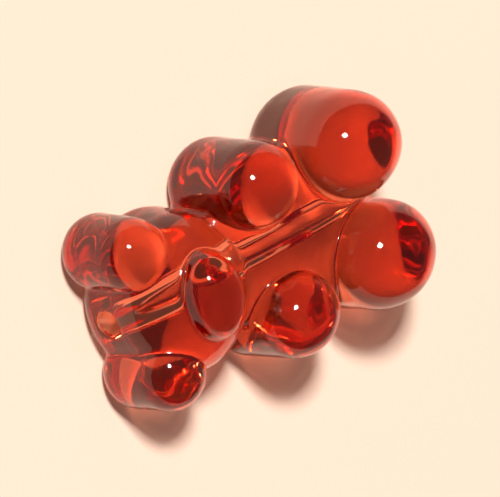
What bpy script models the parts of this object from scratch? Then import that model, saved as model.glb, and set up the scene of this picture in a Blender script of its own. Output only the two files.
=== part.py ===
"""A bear-shaped bead of clear acrylic, moulded in one piece, with a stringing hole from head to toe.

The bead lies on its flat back. Units are metres and +Z is up. The origin is on the table,
under the middle of the bead's box. +Y points to the ears and +Z out of the tummy.
"""
from dataclasses import dataclass
from math import cos, pi, sin

import bmesh
import bpy
from mathutils import Matrix, Vector

MM = 0.001

# Driving sizes of the whole bead
LENGTH = 17.5 * MM
WIDTH = 11.1 * MM
THICKNESS = 6.9 * MM
HOLE_DIAMETER = 1.4 * MM
HOLE_HEIGHT = 2.2 * MM

# Plan sizes of the rounded forms, as half widths (along X) and half lengths (along Y)
EAR_RADIUS = 1.8 * MM
EAR_SPACING = 6.0 * MM
HEAD_HALF = (4.0 * MM, 3.7 * MM)
HEAD_Y = 4.8 * MM
SNOUT_HALF = (2.2 * MM, 1.65 * MM)
SNOUT_Y = 4.6 * MM
ARM_HALF = (2.15 * MM, 2.3 * MM)
ARM_SPACING = 6.55 * MM
ARM_Y = -0.15 * MM
TRUNK_HALF = (4.3 * MM, 5.15 * MM)
TRUNK_Y = -1.85 * MM
LEG_HALF = (2.75 * MM, 2.95 * MM)

# Heights above the back, and how much of each height is dome
EAR_TOP = 5.1 * MM
EAR_DOME = 1.6 * MM
HEAD_TOP = 5.6 * MM
HEAD_DOME = 2.7 * MM
SNOUT_TOP = 6.8 * MM
SNOUT_DOME = 1.5 * MM
ARM_TOP = 6.3 * MM
ARM_DOME = 2.0 * MM
TRUNK_TOP = 4.6 * MM
TRUNK_DOME = 1.5 * MM
LEG_TOP = THICKNESS
LEG_DOME = 2.6 * MM

# 2 gives an ellipse in plan, and more gives a squarer form
TRUNK_SQUARENESS = 2.5

# The mould's taper, and the round along the edge of the back. Each form is widest at EDGE_HEIGHT,
# where the two halves of the mould meet.
DRAFT = 0.05
EDGE_RADIUS = 1.5 * MM
EDGE_HEIGHT = 0.85 * EDGE_RADIUS
EDGE_SWEEP = 0.345 * pi

# How finely the curved forms are cut into faces
DOME_RINGS = 9
EDGE_RINGS = 5
TRUNK_SEGMENTS = 56
HEAD_SEGMENTS = 56
LEG_SEGMENTS = 48
SNOUT_SEGMENTS = 40
SMALL_SEGMENTS = 36
HOLE_SEGMENTS = 24

ACRYLIC_RED = (0.55, 0.02, 0.015, 1.0)
ACRYLIC_ROUGHNESS = 0.05
ACRYLIC_IOR = 1.49


@dataclass
class Lobe:
    """One rounded form of the bear: a tapered post that stands on the back and ends in a dome."""

    name: str
    x: float
    y: float
    half: tuple
    top: float
    dome: float
    squareness: float = 2.0
    segments: int = SMALL_SEGMENTS


def bear_lobes():
    """The forms that the bear is made of. Ears, arms and legs are pairs, mirrored across X."""
    ear_half = (EAR_RADIUS, EAR_RADIUS)
    ear_y = LENGTH / 2 - EAR_RADIUS
    leg_x = WIDTH / 2 - LEG_HALF[0]
    leg_y = LEG_HALF[1] - LENGTH / 2
    lobes = [
        Lobe("head", 0, HEAD_Y, HEAD_HALF, HEAD_TOP, HEAD_DOME, segments=HEAD_SEGMENTS),
        Lobe("snout", 0, SNOUT_Y, SNOUT_HALF, SNOUT_TOP, SNOUT_DOME, segments=SNOUT_SEGMENTS),
    ]
    for side in (-1, 1):
        lobes += [
            Lobe("ear", side * EAR_SPACING / 2, ear_y, ear_half, EAR_TOP, EAR_DOME),
            Lobe("arm", side * ARM_SPACING / 2, ARM_Y, ARM_HALF, ARM_TOP, ARM_DOME),
            Lobe("leg", side * leg_x, leg_y, LEG_HALF, LEG_TOP, LEG_DOME, segments=LEG_SEGMENTS),
        ]
    return lobes


def trunk_lobe():
    """The low, wide tummy between the limbs, which carries all the other forms."""
    return Lobe(
        "trunk", 0, TRUNK_Y, TRUNK_HALF, TRUNK_TOP, TRUNK_DOME, TRUNK_SQUARENESS, TRUNK_SEGMENTS
    )


def post_profile(lobe, depth):
    """Half outline of a post of radius 1, from the dome's top down to a base at -depth.

    Its points are (radius, height). The dome is a quarter ellipse, the wall widens downwards
    by the draft, and the edge of the back is the upper part of a round.
    """
    shoulder = lobe.top - lobe.dome
    profile = []
    for ring in range(DOME_RINGS + 1):
        angle = 0.5 * pi * ring / DOME_RINGS
        profile.append(((1 - DRAFT) * sin(angle), shoulder + lobe.dome * cos(angle)))
    round_share = EDGE_RADIUS / min(lobe.half)
    for ring in range(EDGE_RINGS + 1):
        angle = EDGE_SWEEP * ring / EDGE_RINGS
        radius = 1 - round_share * (1 - cos(angle))
        profile.append((radius, EDGE_HEIGHT - EDGE_RADIUS * sin(angle)))
    profile.append((profile[-1][0], -depth))
    profile.append((0.0, -depth))
    return profile


def turned_mesh(name, profile, segments):
    """A closed mesh, turned round Z from a profile with a Screw modifier, radius and all."""
    bm = bmesh.new()
    points = [bm.verts.new((radius, 0.0, height)) for radius, height in profile]
    for upper, lower in zip(points, points[1:]):
        bm.edges.new((upper, lower))
    outline = bpy.data.meshes.new(name + "_profile")
    bm.to_mesh(outline)
    bm.free()
    blank = bpy.data.objects.new(name + "_profile", outline)
    bpy.context.scene.collection.objects.link(blank)
    screw = blank.modifiers.new("turn", "SCREW")
    screw.steps = screw.render_steps = segments
    screw.use_merge_vertices = True
    screw.merge_threshold = 0.00001
    evaluated = blank.evaluated_get(bpy.context.evaluated_depsgraph_get())
    mesh = bpy.data.meshes.new_from_object(evaluated)
    bpy.data.objects.remove(blank)
    bpy.data.meshes.remove(outline)
    return mesh


def press_to_plan(mesh, lobe):
    """Turns the round post of radius 1 into the lobe's own plan, a rounder or squarer ellipse."""
    power = lobe.squareness
    for vertex in mesh.vertices:
        radius = Vector(vertex.co[:2]).length
        if radius == 0:
            continue
        across = abs(vertex.co.x / radius) ** power + abs(vertex.co.y / radius) ** power
        fit = across ** (-1 / power)
        vertex.co.x *= fit * lobe.half[0]
        vertex.co.y *= fit * lobe.half[1]


def add_lobe(lobe, depth, collection):
    """One post as an object in its place, with its outward faces checked."""
    mesh = turned_mesh(lobe.name, post_profile(lobe, depth), lobe.segments)
    press_to_plan(mesh, lobe)
    mesh.transform(Matrix.Translation((lobe.x, lobe.y, 0.0)))
    bm = bmesh.new()
    bm.from_mesh(mesh)
    bmesh.ops.remove_doubles(bm, verts=bm.verts, dist=0.000001)
    bmesh.ops.recalc_face_normals(bm, faces=bm.faces)
    bm.to_mesh(mesh)
    bm.free()
    piece = bpy.data.objects.new(lobe.name, mesh)
    collection.objects.link(piece)
    return piece


def apply_modifiers(piece):
    """Gives the object the mesh that its modifiers make, and drops the modifiers."""
    evaluated = piece.evaluated_get(bpy.context.evaluated_depsgraph_get())
    piece.data = bpy.data.meshes.new_from_object(evaluated)
    piece.modifiers.clear()


def fuse(piece, others):
    """Joins a collection of overlapping solids to one solid, then removes the collection's objects."""
    union = piece.modifiers.new("fuse", "BOOLEAN")
    union.operation = "UNION"
    union.operand_type = "COLLECTION"
    union.collection = others
    union.solver = "MANIFOLD"
    apply_modifiers(piece)
    for other in list(others.objects):
        bpy.data.objects.remove(other)
    bpy.data.collections.remove(others)


def add_cutter(name, collection):
    """Makes the newest primitive a cutter, which isn't part of the bead."""
    cutter = bpy.context.object
    cutter.name = name
    for holder in list(cutter.users_collection):
        holder.objects.unlink(cutter)
    collection.objects.link(cutter)
    cutter.display_type = "WIRE"
    cutter.hide_render = True
    return cutter


def add_hole_cutter(collection):
    """The core pin of the mould, which leaves the stringing hole from the crown to the crotch."""
    bpy.ops.mesh.primitive_cylinder_add(
        vertices=HOLE_SEGMENTS, radius=HOLE_DIAMETER / 2, depth=2 * LENGTH,
        location=(0, 0, HOLE_HEIGHT), rotation=(pi / 2, 0, 0),
    )
    return add_cutter("hole_cutter", collection)


def add_back_cutter(collection):
    """A block whose top face is the table, which makes the back flat."""
    block = 2 * LENGTH
    bpy.ops.mesh.primitive_cube_add(size=block, location=(0, 0, -block / 2))
    return add_cutter("back_cutter", collection)


def cut(piece, cutter):
    """Takes the cutter's form out of the piece."""
    difference = piece.modifiers.new("cut_" + cutter.name, "BOOLEAN")
    difference.operation = "DIFFERENCE"
    difference.object = cutter
    difference.solver = "MANIFOLD"


def clear_acrylic():
    """The bead's material: red clear acrylic, polished by the mould."""
    material = bpy.data.materials.new("red_acrylic")
    material.use_nodes = True
    shader = material.node_tree.nodes["Principled BSDF"]
    shader.inputs["Base Color"].default_value = ACRYLIC_RED
    shader.inputs["Roughness"].default_value = ACRYLIC_ROUGHNESS
    shader.inputs["Metallic"].default_value = 0.0
    shader.inputs["IOR"].default_value = ACRYLIC_IOR
    material.diffuse_color = ACRYLIC_RED
    return material


def new_collection(name):
    collection = bpy.data.collections.new(name)
    bpy.context.scene.collection.children.link(collection)
    return collection


def build_bear():
    """The whole bead as one closed solid."""
    parts = new_collection("bear_bead")
    cutters = new_collection("cutters")
    lobes = new_collection("lobes")
    # Each base lies a little deeper than the last, so that no two lie in one plane.
    step = 0.05 * MM
    bear = add_lobe(trunk_lobe(), 2 * step, parts)
    for number, lobe in enumerate(bear_lobes()):
        add_lobe(lobe, (3 + number) * step, lobes)
    fuse(bear, lobes)
    bear.name = "bear"
    bear.data.name = "bear"
    cut(bear, add_back_cutter(cutters))
    cut(bear, add_hole_cutter(cutters))
    bear.data.materials.clear()
    bear.data.materials.append(clear_acrylic())
    bear.data.shade_smooth()
    bear.data.set_sharp_from_angle(angle=pi / 6)
    return bear


def main():
    for piece in list(bpy.data.objects):
        bpy.data.objects.remove(piece)
    build_bear()


main()
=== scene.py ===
# %% [markdown]
# # A bear-shaped bead of clear red acrylic
#
# The real object is a small moulded bead, 17.5 mm long. It is one piece of clear red acrylic
# with a flat back, a stringing hole from head to feet, and a rounded post for each ear, arm
# and leg. This lesson takes the bead's solid, gives it a fine skin, and then the look of
# polished acrylic on a pale table.

# %% Load the solid bead
from dataclasses import dataclass
from math import radians, sqrt

import bpy
import numpy as np
from mathutils import Matrix, Quaternion, Vector


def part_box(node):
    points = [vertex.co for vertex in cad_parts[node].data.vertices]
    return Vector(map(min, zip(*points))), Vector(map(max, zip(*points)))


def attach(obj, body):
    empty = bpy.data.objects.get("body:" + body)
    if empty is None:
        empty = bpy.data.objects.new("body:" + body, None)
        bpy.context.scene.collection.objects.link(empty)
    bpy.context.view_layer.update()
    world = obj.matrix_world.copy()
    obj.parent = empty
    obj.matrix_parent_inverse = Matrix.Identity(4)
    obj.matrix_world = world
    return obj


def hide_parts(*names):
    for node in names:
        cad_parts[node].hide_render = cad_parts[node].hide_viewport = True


MM = 0.001

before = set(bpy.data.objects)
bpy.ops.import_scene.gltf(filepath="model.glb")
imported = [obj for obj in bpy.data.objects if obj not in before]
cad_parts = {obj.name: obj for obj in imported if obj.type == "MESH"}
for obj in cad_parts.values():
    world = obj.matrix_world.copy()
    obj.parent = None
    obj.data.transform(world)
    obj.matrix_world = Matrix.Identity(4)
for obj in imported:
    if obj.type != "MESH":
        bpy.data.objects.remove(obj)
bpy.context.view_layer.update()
low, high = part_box("bear")
print("solid bead, mm:", [round((top - base) / MM, 2) for base, top in zip(low, high)])

# %% [markdown]
# ## The sizes
#
# Sizes are in millimetres, because a bead is measured so. Its length, width and thickness
# come from the solid. The other sizes are those of the mould: where each post stands, how
# wide it is and how high its dome reaches. A pair such as HEAD_HALF is half the width and
# half the length of a post, seen from above.

# %% Name the bead's sizes
LENGTH, WIDTH, THICKNESS = ((high[axis] - low[axis]) / MM for axis in (1, 0, 2))

HOLE_RADIUS = 0.7
HOLE_HEIGHT = 2.2

EAR_RADIUS = 1.8
EAR_SPACING = 6.0
HEAD_HALF = (4.0, 3.7)
HEAD_Y = 4.8
SNOUT_HALF = (2.2, 1.65)
SNOUT_Y = 4.6
ARM_HALF = (2.15, 2.3)
ARM_SPACING = 6.55
ARM_Y = -0.15
TRUNK_HALF = (4.3, 5.15)
TRUNK_Y = -1.85
TRUNK_SQUARENESS = 2.5
LEG_HALF = (2.75, 2.95)

EAR_TOP, EAR_DOME = 5.1, 1.6
HEAD_TOP, HEAD_DOME = 5.6, 2.7
SNOUT_TOP, SNOUT_DOME = 6.8, 1.5
ARM_TOP, ARM_DOME = 6.3, 2.0
TRUNK_TOP, TRUNK_DOME = 4.6, 1.5
LEG_TOP, LEG_DOME = THICKNESS, 2.6

print(f"bead {LENGTH:.1f} x {WIDTH:.1f} x {THICKNESS:.1f} mm")

# %% [markdown]
# ## The posts
#
# The mould has one rounded pocket for each form of the bear: tummy, head and snout, and a
# pair each of ears, arms and legs. A list of nine small records describes them all, so that
# one formula can serve for every post. The two of a pair differ only in the sign of x.


# %% List the bead's rounded posts
@dataclass
class Lobe:
    """One rounded post of the bead. It stands on the back and ends in a dome."""

    name: str
    x: float
    y: float
    half: tuple
    top: float
    dome: float
    squareness: float = 2.0


def bear_lobes():
    """The posts that the bead is made of. Ears, arms and legs are pairs, mirrored across X."""
    ear_half = (EAR_RADIUS, EAR_RADIUS)
    ear_y = LENGTH / 2 - EAR_RADIUS
    leg_x = WIDTH / 2 - LEG_HALF[0]
    leg_y = LEG_HALF[1] - LENGTH / 2
    lobes = [
        Lobe("trunk", 0, TRUNK_Y, TRUNK_HALF, TRUNK_TOP, TRUNK_DOME, TRUNK_SQUARENESS),
        Lobe("head", 0, HEAD_Y, HEAD_HALF, HEAD_TOP, HEAD_DOME),
        Lobe("snout", 0, SNOUT_Y, SNOUT_HALF, SNOUT_TOP, SNOUT_DOME),
    ]
    for side in (-1, 1):
        lobes += [
            Lobe("ear", side * EAR_SPACING / 2, ear_y, ear_half, EAR_TOP, EAR_DOME),
            Lobe("arm", side * ARM_SPACING / 2, ARM_Y, ARM_HALF, ARM_TOP, ARM_DOME),
            Lobe("leg", side * leg_x, leg_y, LEG_HALF, LEG_TOP, LEG_DOME),
        ]
    return lobes


LOBES = bear_lobes()
print("posts:", ", ".join(lobe.name for lobe in LOBES))

# %% [markdown]
# ## The form as a formula
#
# Clear plastic shows every flaw of its skin twice, once in the gloss and once in what is
# seen through it. A skin of flat facets looks cut, and a remeshed one looks hammered. So the
# form is written here as a formula, and each point of a fine mesh is later pulled onto it.
#
# The formula gives a distance: negative inside the plastic, zero on its skin, positive
# outside. One post is a tapered wall with a domed top and a rounded lower edge. The wall is
# widest a little above the back, where the two halves of the mould meet.

# %% Measure a point against one post
DRAFT = 0.05
EDGE_RADIUS = 1.5
EDGE_HEIGHT = 0.85 * EDGE_RADIUS
EDGE_LOWEST = 0.99
SLOPE_STEP = 0.0005
TINY = 1e-9


def plan_radius(lobe, points):
    """How far out a point lies in the post's plan: 0 in the middle, 1 at the outline."""
    across = np.abs(points[:, 0] - lobe.x) / lobe.half[0]
    along = np.abs(points[:, 1] - lobe.y) / lobe.half[1]
    return (across**lobe.squareness + along**lobe.squareness) ** (1 / lobe.squareness)


def lobe_measure(lobe, points):
    """Below zero inside the post, zero on its skin and above zero outside, without a unit."""
    out = plan_radius(lobe, points)
    height = points[:, 2]
    shoulder = lobe.top - lobe.dome
    dome = np.hypot(out / (1 - DRAFT), (height - shoulder) / lobe.dome) - 1
    taper = 1 - DRAFT * (height - EDGE_HEIGHT) / (shoulder - EDGE_HEIGHT)
    drop = np.clip((EDGE_HEIGHT - height) / EDGE_RADIUS, 0, EDGE_LOWEST)
    edge = 1 - EDGE_RADIUS / min(lobe.half) * (1 - np.sqrt(1 - drop**2))
    wall = out / np.where(height < EDGE_HEIGHT, edge, taper) - 1
    return np.where(height > shoulder, dome, wall)


def lobe_distance(lobe, points):
    """The distance to the post's skin in mm, and the direction straight away from it."""
    slopes = []
    for axis in range(3):
        aside = np.zeros(3)
        aside[axis] = SLOPE_STEP
        rise = lobe_measure(lobe, points + aside) - lobe_measure(lobe, points - aside)
        slopes.append(rise / (2 * SLOPE_STEP))
    slope = np.stack(slopes, axis=1)
    steepness = np.linalg.norm(slope, axis=1) + TINY
    return lobe_measure(lobe, points) / steepness, slope / steepness[:, None]


over_tummy = np.array([[0.0, 0.0, THICKNESS]])
gap = lobe_distance(LOBES[0], over_tummy)[0]
print("from the tummy up to the bead's full thickness, mm:", gap.round(2))

# %% [markdown]
# Where two posts meet, a real mould leaves a crease with a very small round, because the
# cutter that made the mould wasn't perfectly sharp. A plain minimum of the distances would
# give a knife-sharp crease. A soft minimum, which blends the two distances where they are
# nearly equal, rounds it. The hole and the flat back are taken away with a soft maximum in
# the same way. One function does both, because a minimum is a maximum with its signs turned.

# %% Blend distances softly
CREASE_ROUND = 0.08
RIM_ROUND = 0.03


def blend(distances, directions, softness):
    """A soft maximum of several distances, in mm, with the direction that goes with it."""
    distances = np.stack(distances)
    highest = distances.max(axis=0)
    shares = np.exp((distances - highest) / softness)
    total = shares.sum(axis=0)
    weights = (shares / total)[:, :, None]
    direction = (weights * np.stack(directions)).sum(axis=0)
    return highest + softness * np.log(total), direction


print("creases rounded by", CREASE_ROUND, "mm and rims by", RIM_ROUND, "mm")

# %% [markdown]
# Plastic shrinks as it cools, most where it is thick, so a small cheap moulding never keeps
# the mould's skin quite true. A few crossing waves, some thousandths of a millimetre high,
# stand for that: they make the gloss and what is seen through it waver a little. They are
# plain sines in directions a golden angle apart, so nothing random is drawn and the ripple
# never looks like a grid. Under each thick post the back is drawn in to a shallow dish,
# called a sink mark, and this bends what is seen through the post.

# %% Shrink the cooled plastic
RIPPLE_DEPTH = 0.008
RIPPLE_LENGTH = 2.6
RIPPLE_WAVES = 7
RIPPLE_TILT = 0.9
RIPPLE_SPREAD = 0.5
RIPPLE_BEAT = 3
GOLDEN_ANGLE = 2.4
SINK_DEPTH = 0.15
SINK_WIDTH = 0.6


def shrink_ripple(points):
    """How far in mm the cooled plastic lies above or below the mould's own skin."""
    waves = np.zeros(len(points))
    for turn in range(RIPPLE_WAVES):
        angle = GOLDEN_ANGLE * turn
        tilt = RIPPLE_TILT * (2 * turn / (RIPPLE_WAVES - 1) - 1)
        along = np.array([np.cos(angle), np.sin(angle), tilt])
        length = RIPPLE_LENGTH * (1 + RIPPLE_SPREAD * np.sin(RIPPLE_BEAT * turn))
        waves += np.sin(2 * np.pi * (points @ along) / length + angle)
    return RIPPLE_DEPTH * waves / sqrt(RIPPLE_WAVES)


def sink_mark(points):
    """How far in mm the back is drawn in, most under the middle of each post."""
    marks = [np.exp(-((plan_radius(lobe, points) / SINK_WIDTH) ** 2)) for lobe in LOBES]
    return SINK_DEPTH * sum(marks)


foot = np.array([[LOBES[-1].x, LOBES[-1].y, 0.0]])
print("sink mark under a leg, mm:", sink_mark(foot).round(3))

# %% [markdown]
# Now the whole bead is one formula: all the posts joined, with the ripple on them, and then
# the hole and the space under the back taken away.


# %% Join the posts and take away the hole and the back
def bead_distance(points):
    """The distance to the whole bead's skin in mm, and the direction away from it."""
    posts = [lobe_distance(lobe, points) for lobe in LOBES]
    inside = [-distance for distance, _ in posts]
    outside, away = blend(inside, [-direction for _, direction in posts], CREASE_ROUND)
    outside = outside - shrink_ripple(points)
    from_axis = points - np.array([0, 0, HOLE_HEIGHT])
    from_axis[:, 1] = 0
    radius = np.linalg.norm(from_axis, axis=1) + TINY
    down = np.tile([0.0, 0.0, -1.0], (len(points), 1))
    return blend(
        [-outside, HOLE_RADIUS - radius, sink_mark(points) - points[:, 2]],
        [-away, -from_axis / radius[:, None], down],
        RIM_ROUND,
    )


middle = bead_distance(np.zeros((1, 3)))[0]
print("distance from the middle of the back to the skin, mm:", middle.round(3))

# %% [markdown]
# ## The fine skin
#
# A voxel remesh of the solid gives a mesh of small, even squares. Its points lie up to half
# a voxel off, in steps, so they are evened out and pulled onto the formula a few times.
# Remeshing alone would leave the steps, and subdividing would round the crisp creases.

# %% Remesh the solid
VOXEL = 0.105
WELD_GAP = 0.0001


def remeshed_copy(node):
    """A fine, even mesh of a CAD node, in millimetres."""
    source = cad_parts[node]
    mesh = source.data.copy()
    mesh.transform(Matrix.Scale(1 / MM, 4))
    piece = bpy.data.objects.new("acrylic_bear", mesh)
    bpy.context.scene.collection.objects.link(piece)
    weld = piece.modifiers.new("weld", "WELD")
    weld.merge_threshold = WELD_GAP
    remesh = piece.modifiers.new("remesh", "REMESH")
    remesh.mode = "VOXEL"
    remesh.voxel_size = VOXEL
    evaluated = piece.evaluated_get(bpy.context.evaluated_depsgraph_get())
    piece.modifiers.clear()
    piece.data = bpy.data.meshes.new_from_object(evaluated)
    return piece


bear = remeshed_copy("bear")
print(len(bear.data.polygons), "small squares")

# %% [markdown]
# Each round first moves every point halfway to the mean of its neighbours, which takes the
# steps out. Then it moves the point back to the skin, by the distance that the formula
# gives. Deep in a crease two directions nearly cancel out, and a limit keeps the point from
# jumping.

# %% Pull the skin onto the form
ROUNDS = 4
EVENING = 0.5
PULLS = 2
LEAST_STEEPNESS = 0.25


def pull_to_form(mesh):
    """Evens out the mesh's points and moves each one onto the bead's true skin."""
    count = len(mesh.vertices)
    points = np.empty(count * 3)
    mesh.vertices.foreach_get("co", points)
    points = points.reshape(count, 3)
    ends = np.empty(len(mesh.edges) * 2, dtype=int)
    mesh.edges.foreach_get("vertices", ends)
    first, second = ends.reshape(-1, 2).T
    neighbours = np.bincount(ends, minlength=count)[:, None]
    for _ in range(ROUNDS):
        total = np.zeros_like(points)
        np.add.at(total, first, points[second])
        np.add.at(total, second, points[first])
        points += EVENING * (total / neighbours - points)
        for _ in range(PULLS):
            distance, away = bead_distance(points)
            steepness = (away**2).sum(axis=1).clip(LEAST_STEEPNESS)
            step = (distance / steepness).clip(-VOXEL, VOXEL)
            points -= step[:, None] * away
    mesh.vertices.foreach_set("co", points.ravel() * MM)
    return np.abs(bead_distance(points)[0]).max()


worst = pull_to_form(bear.data)
bear.data.update()
bear.data.shade_smooth()
print(f"every point at most {worst:.3f} mm off the form")

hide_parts("bear")
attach(bear, "root")

# %% [markdown]
# ## Colours and nodes
#
# Colours are picked as they look on a screen, as sRGB hex values, and a renderer works with
# linear light. One function turns the first into the second, by the curve in the sRGB
# standard. Another adds a shader node with its settings and its links, so that each material
# reads as a short list.


# %% Make the two helpers
def linear(colour):
    """A colour such as #C04030 as linear red, green and blue, with an alpha of 1."""
    parts = [int(colour[start : start + 2], 16) / 255 for start in (1, 3, 5)]
    light = [c / 12.92 if c <= 0.04045 else ((c + 0.055) / 1.055) ** 2.4 for c in parts]
    return light + [1.0]


def add_node(tree, kind, settings=None, links=None, **values):
    """Adds a node. Settings are its properties, links feed its inputs, values fill them."""
    node = tree.nodes.new(kind)
    for name, setting in (settings or {}).items():
        setattr(node, name, setting)
    for name, value in values.items():
        node.inputs[name.replace("_", " ")].default_value = value
    for name, output in (links or {}).items():
        tree.links.new(output, node.inputs[name])
    return node


print("white in linear light:", linear("#FFFFFF"))

# %% [markdown]
# ## The acrylic
#
# The bead is acrylic, PMMA, injection-moulded in a polished steel mould. Pure acrylic bends
# light by an index of 1.49, and the cheaper mixes of acrylic and styrene by more. Here 1.53
# gave bright and dark patches most like those of the real bead. The skin is very glossy,
# with faint smudges about 1.5 mm wide where it has been handled.
#
# The dye is mixed all through the plastic, so the colour isn't on the skin: it deepens with
# the length of plastic that light passes. A colour on the shader would be the same
# everywhere. A Volume Absorption inside clear glass gives orange-red where the bead is thin
# and crimson where it is deep.

# %% Choose the acrylic's values
ACRYLIC_IOR = 1.53
CLEAR = "#FFFFFF"
GLOSSIEST, DULLEST = 0.03, 0.06
SMUDGE_SIZE = 1.5 * MM
SMUDGE_DETAIL = 3.0
SMUDGE_EDGES = (0.35, 0.75)
DYE_COLOUR = "#F59632"
DYE_DENSITY = 365.0
print(f"acrylic with an index of {ACRYLIC_IOR} and a roughness of {GLOSSIEST} to {DULLEST}")

# %% [markdown]
# The bead also throws light. What falls on the walls that face the lamp is bent down to the
# table under the post, and the rest of the skin sends the light elsewhere and leaves a
# shadow. A renderer hardly ever finds such paths to a small lamp, and Blender's shadow
# caustics follow light through a few smooth walls only. So a stand-in does it: the ray that
# asks whether a spot of the table sees the lamp comes in through the flat back, passes
# straight out where the skin has the right slant to the lamp, and is stopped elsewhere.
#
# LAMP_WINDOW gives that slant, from 0 for a skin square to the ray to 1 for one that it
# grazes, with the share of light that passes. BACK_SLOPE tells the back, whose normal points
# down, from the side walls, and WALL_SHARE is the share that comes in by a side wall. All
# other rays meet plain acrylic, so nothing is painted for one view.

# %% Let lamplight through the bead
LAMP_WINDOW = ((0.34, 0.0), (0.37, 0.8), (0.45, 0.8), (0.50, 0.0))
BACK_SLOPE = (-0.95, -0.75)
WALL_SHARE = 0.45


def thrown_light(tree):
    """What a ray from the table to the lamp meets: a dark skin with clear places."""
    slant = add_node(tree, "ShaderNodeLayerWeight")
    way_out = add_node(tree, "ShaderNodeValToRGB", links={"Fac": slant.outputs["Facing"]})
    window = way_out.color_ramp.elements
    for place, share in LAMP_WINDOW:
        window.new(place).color = (share, share, share, 1)
    window.remove(window[0])
    window.remove(window[-1])
    side = add_node(tree, "ShaderNodeNewGeometry")
    slope = add_node(
        tree, "ShaderNodeSeparateXYZ", links={"Vector": side.outputs["Normal"]}
    )
    way_in = add_node(
        tree,
        "ShaderNodeMapRange",
        links={"Value": slope.outputs["Z"]},
        From_Min=BACK_SLOPE[0],
        From_Max=BACK_SLOPE[1],
        To_Min=1.0,
        To_Max=WALL_SHARE,
    )
    # A Mix node has several inputs of one name. Its factor is number 0, and its two
    # numbers are 2 and 3.
    ways = {
        0: side.outputs["Backfacing"],
        2: way_in.outputs["Result"],
        3: way_out.outputs["Color"],
    }
    passed = add_node(tree, "ShaderNodeMix", links=ways)
    return add_node(
        tree, "ShaderNodeBsdfTransparent", links={"Color": passed.outputs[0]}
    )


print("slants that let lamplight out:", LAMP_WINDOW[0][0], "to", LAMP_WINDOW[-1][0])


# %% Make the acrylic
def moulded_acrylic():
    """Clear, dyed and polished: the eye sees through it, with a sharp dot from the lamp."""
    material = bpy.data.materials.new("moulded_acrylic_red")
    material.use_nodes = True
    tree = material.node_tree
    tree.nodes.clear()
    place = add_node(tree, "ShaderNodeTexCoord")
    smudges = add_node(
        tree,
        "ShaderNodeTexNoise",
        links={"Vector": place.outputs["Object"]},
        Scale=1 / SMUDGE_SIZE,
        Detail=SMUDGE_DETAIL,
    )
    gloss = add_node(
        tree,
        "ShaderNodeMapRange",
        links={"Value": smudges.outputs["Fac"]},
        From_Min=SMUDGE_EDGES[0],
        From_Max=SMUDGE_EDGES[1],
        To_Min=GLOSSIEST,
        To_Max=DULLEST,
    )
    acrylic = add_node(
        tree,
        "ShaderNodeBsdfPrincipled",
        links={"Roughness": gloss.outputs["Result"]},
        Base_Color=linear(CLEAR),
        IOR=ACRYLIC_IOR,
        Transmission_Weight=1.0,
    )
    dye = add_node(
        tree, "ShaderNodeVolumeAbsorption", Color=linear(DYE_COLOUR), Density=DYE_DENSITY
    )
    rays = add_node(tree, "ShaderNodeLightPath")
    skins = {
        0: rays.outputs["Is Shadow Ray"],
        1: acrylic.outputs["BSDF"],
        2: thrown_light(tree).outputs["BSDF"],
    }
    skin = add_node(tree, "ShaderNodeMixShader", links=skins)
    add_node(
        tree,
        "ShaderNodeOutputMaterial",
        links={"Surface": skin.outputs["Shader"], "Volume": dye.outputs["Volume"]},
    )
    return material


bear.data.materials.clear()
bear.data.materials.append(moulded_acrylic())
print("material:", bear.data.materials[0].name)

# %% [markdown]
# ## The table
#
# The bead lies on a plain, pale, cream table. It is a large sheet, a hair below the bead's
# back, so that the two flat faces don't fight for the same place. Matt paint scatters light
# evenly, so it is nearly as bright from every side.

# %% Lay the table
TABLE_SIZE = 4.0
TABLE_GAP = 0.03 * MM
TABLE_COLOUR = "#FADBC9"
TABLE_ROUGHNESS = 0.9
TABLE_SHINE = 0.05


def painted_board():
    """Matt cream paint on a board: even and pale, with hardly any shine."""
    material = bpy.data.materials.new("painted_board_cream")
    material.use_nodes = True
    paint = material.node_tree.nodes["Principled BSDF"]
    paint.inputs["Base Color"].default_value = linear(TABLE_COLOUR)
    paint.inputs["Roughness"].default_value = TABLE_ROUGHNESS
    paint.inputs["Specular IOR Level"].default_value = TABLE_SHINE
    return material


bpy.ops.mesh.primitive_plane_add(size=TABLE_SIZE, location=(0, 0, -TABLE_GAP))
table = bpy.context.object
table.name = "table"
table.data.materials.append(painted_board())
print("table", TABLE_SIZE, "m across")

# %% [markdown]
# ## Light
#
# One lamp stands almost behind the camera. It looks small from the bead, so it puts one
# small near-white dot on each dome. It is far away, so that the table is evenly lit on all
# sides, and its power is high to make up for the distance. A pale surround fills the
# rest. It is dim, because a bright one would wash out the dark reds inside the bead.

# %% Hang the lamp
LAMP_WAY = Vector((0.57, 0.25, 0.78)).normalized()
LAMP_DISTANCE = 2.4
LAMP_SIZE = 0.32
LAMP_POWER = 83.2
LAMP_COLOUR = "#FFFAF2"


def add_lamp():
    """A square lamp that shines at the bead."""
    data = bpy.data.lights.new("key_lamp", "AREA")
    data.size = LAMP_SIZE
    data.energy = LAMP_POWER
    data.color = linear(LAMP_COLOUR)[:3]
    lamp = bpy.data.objects.new("key_lamp", data)
    bpy.context.scene.collection.objects.link(lamp)
    lamp.location = LAMP_WAY * LAMP_DISTANCE
    lamp.rotation_mode = "QUATERNION"
    lamp.rotation_quaternion = LAMP_WAY.to_track_quat("Z", "Y")
    return lamp


lamp = add_lamp()
print("lamp:", lamp.name, "at", [round(c, 2) for c in lamp.location], "m")

# %% Fill the room with pale light
SURROUND_COLOUR = "#FFEEE8"
SURROUND_STRENGTH = 0.15

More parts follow.
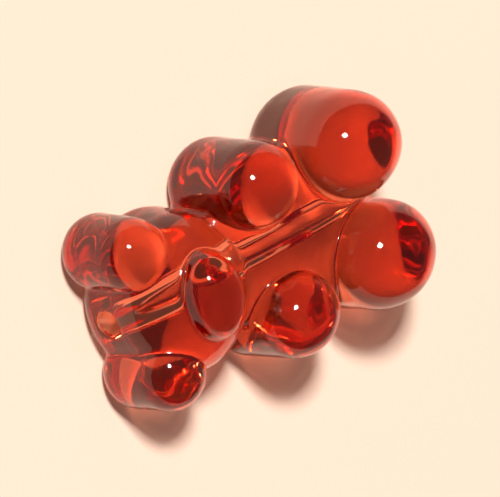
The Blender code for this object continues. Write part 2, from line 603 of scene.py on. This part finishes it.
world = bpy.data.worlds.new("pale_studio")
bpy.context.scene.world = world
world.use_nodes = True
surround = world.node_tree.nodes["Background"]
surround.inputs["Color"].default_value = linear(SURROUND_COLOUR)
surround.inputs["Strength"].default_value = SURROUND_STRENGTH
print("surround of strength", SURROUND_STRENGTH)

# %% [markdown]
# ## The camera
#
# The camera looks down at the bead from past its head, with the head towards the lower left
# of the picture. It stands 173 mm away, so the near posts look slightly larger. The lens is
# long, so that the bead fills most of the frame from there.

# %% Set up the camera
VIEW_AZIMUTH = radians(151.5)
VIEW_ELEVATION = radians(52.2)
CAMERA_ROLL = radians(94.8)
CAMERA_DISTANCE = 173.4 * MM
PICTURE_CENTRE = Vector((-0.57, -1.15, 0.99)) * MM
SENSOR_WIDTH = 36.0
LENS = 265.0
NEAREST_SEEN = 10 * MM


def way_to_camera():
    """The direction from the bead to the camera."""
    level = np.cos(VIEW_ELEVATION)
    return Vector(
        (
            np.sin(VIEW_AZIMUTH) * level,
            -np.cos(VIEW_AZIMUTH) * level,
            np.sin(VIEW_ELEVATION),
        )
    )


def add_camera():
    """The camera in its place, aimed at the middle of the picture and then rolled."""
    data = bpy.data.cameras.new("camera")
    data.sensor_width = SENSOR_WIDTH
    data.lens = LENS
    data.clip_start = NEAREST_SEEN
    camera = bpy.data.objects.new("camera", data)
    bpy.context.scene.collection.objects.link(camera)
    back = way_to_camera()
    camera.location = PICTURE_CENTRE + back * CAMERA_DISTANCE
    camera.rotation_mode = "QUATERNION"
    upright = (-back).to_track_quat("-Z", "Y")
    camera.rotation_quaternion = upright @ Quaternion((0, 0, 1), CAMERA_ROLL)
    return camera


bpy.context.scene.camera = add_camera()
print("camera at", [round(c / MM, 1) for c in bpy.context.scene.camera.location], "mm")

# %% [markdown]
# ## Render settings
#
# Light crosses many walls inside a clear bead, so the paths are allowed more bounces than
# usual, and none is dimmed for being bright. The Standard view keeps the reds as picked.

# %% Choose how light is followed and shown
BOUNCES = 20

scene = bpy.context.scene
scene.cycles.max_bounces = BOUNCES
scene.cycles.transmission_bounces = BOUNCES
scene.cycles.glossy_bounces = BOUNCES
scene.cycles.transparent_max_bounces = BOUNCES
scene.cycles.sample_clamp_indirect = 0
scene.view_settings.view_transform = "Standard"
print("view transform:", scene.view_settings.view_transform)
